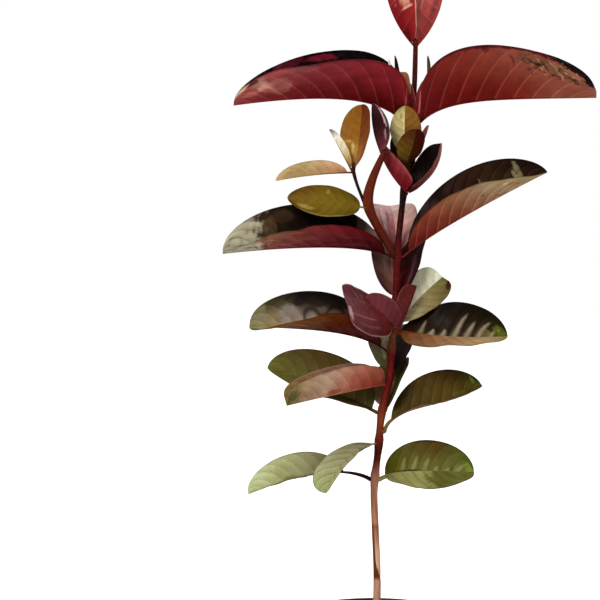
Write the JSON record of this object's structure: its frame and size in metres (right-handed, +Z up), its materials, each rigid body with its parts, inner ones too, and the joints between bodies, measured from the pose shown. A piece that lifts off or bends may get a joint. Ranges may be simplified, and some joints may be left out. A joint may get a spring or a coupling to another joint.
{
  "type": "potted guava tree",
  "caption": "Young red-leaved guava tree: one slender leaning stem with folded glossy leaves in pairs and a forked side shoot, in a round black nursery pot.",
  "frame": {"origin": "centre of the pot's flat underside", "axes": "+Z up along the stem, +X to the plant's right as seen from the front, +Y to its back"},
  "size_m": [0.2967, 0.1376, 0.6517],
  "materials": {
    "pot_plastic": "black moulded nursery-pot plastic, satin, lightly scuffed",
    "potting_mix": "moist crumbly bark and coir mix",
    "bark": "smooth young bark, tan and peeling at the foot, crimson to near black higher up",
    "young_bark": "smooth red-orange shoot skin",
    "leaf_red": "maroon leaf, near black and glossy above, red with raised paler veins below",
    "leaf_bronze": "bronze leaf, dark and glossy above, brown with paler veins below",
    "leaf_green": "olive to pale green leaf, satin, with pressed-in side veins"
  },
  "bodies": {
    "root": {"pot": "pot_plastic", "soil": "potting_mix", "stem": "bark", "shoot_lower": "young_bark", "shoot_arm": "young_bark", "shoot_twig": "young_bark", "leaf_tip_left": "leaf_red", "leaf_tip_right": "leaf_red", "leaf_first_left": "leaf_red", "leaf_first_right": "leaf_red", "bud_first_left": "leaf_red", "bud_first_right": "leaf_green", "leaf_second_left": "leaf_red", "leaf_second_right": "leaf_red", "leaf_second_pale": "leaf_green", "leaf_second_olive": "leaf_green", "leaf_second_point": "leaf_red", "leaf_second_back": "leaf_red", "leaf_third_left": "leaf_red", "leaf_third_right": "leaf_red", "leaf_third_back": "leaf_bronze", "leaf_fourth_back": "leaf_bronze", "leaf_fourth_front": "leaf_bronze", "leaf_fourth_pale": "leaf_green", "leaf_fifth_left": "leaf_bronze", "leaf_fifth_right": "leaf_bronze", "leaf_sixth_left": "leaf_bronze", "leaf_sixth_back": "leaf_bronze", "leaf_seventh_left": "leaf_green", "leaf_seventh_right": "leaf_green", "leaf_seventh_back": "leaf_green", "leaf_eighth_front": "leaf_green", "leaf_ninth_left": "leaf_green", "leaf_ninth_right": "leaf_green", "leaf_side_olive": "leaf_green", "leaf_side_tan": "leaf_green", "leaf_side_gold": "leaf_green", "leaf_side_small": "leaf_green", "leaf_side_dark": "leaf_red"}
  },
  "joints": []
}
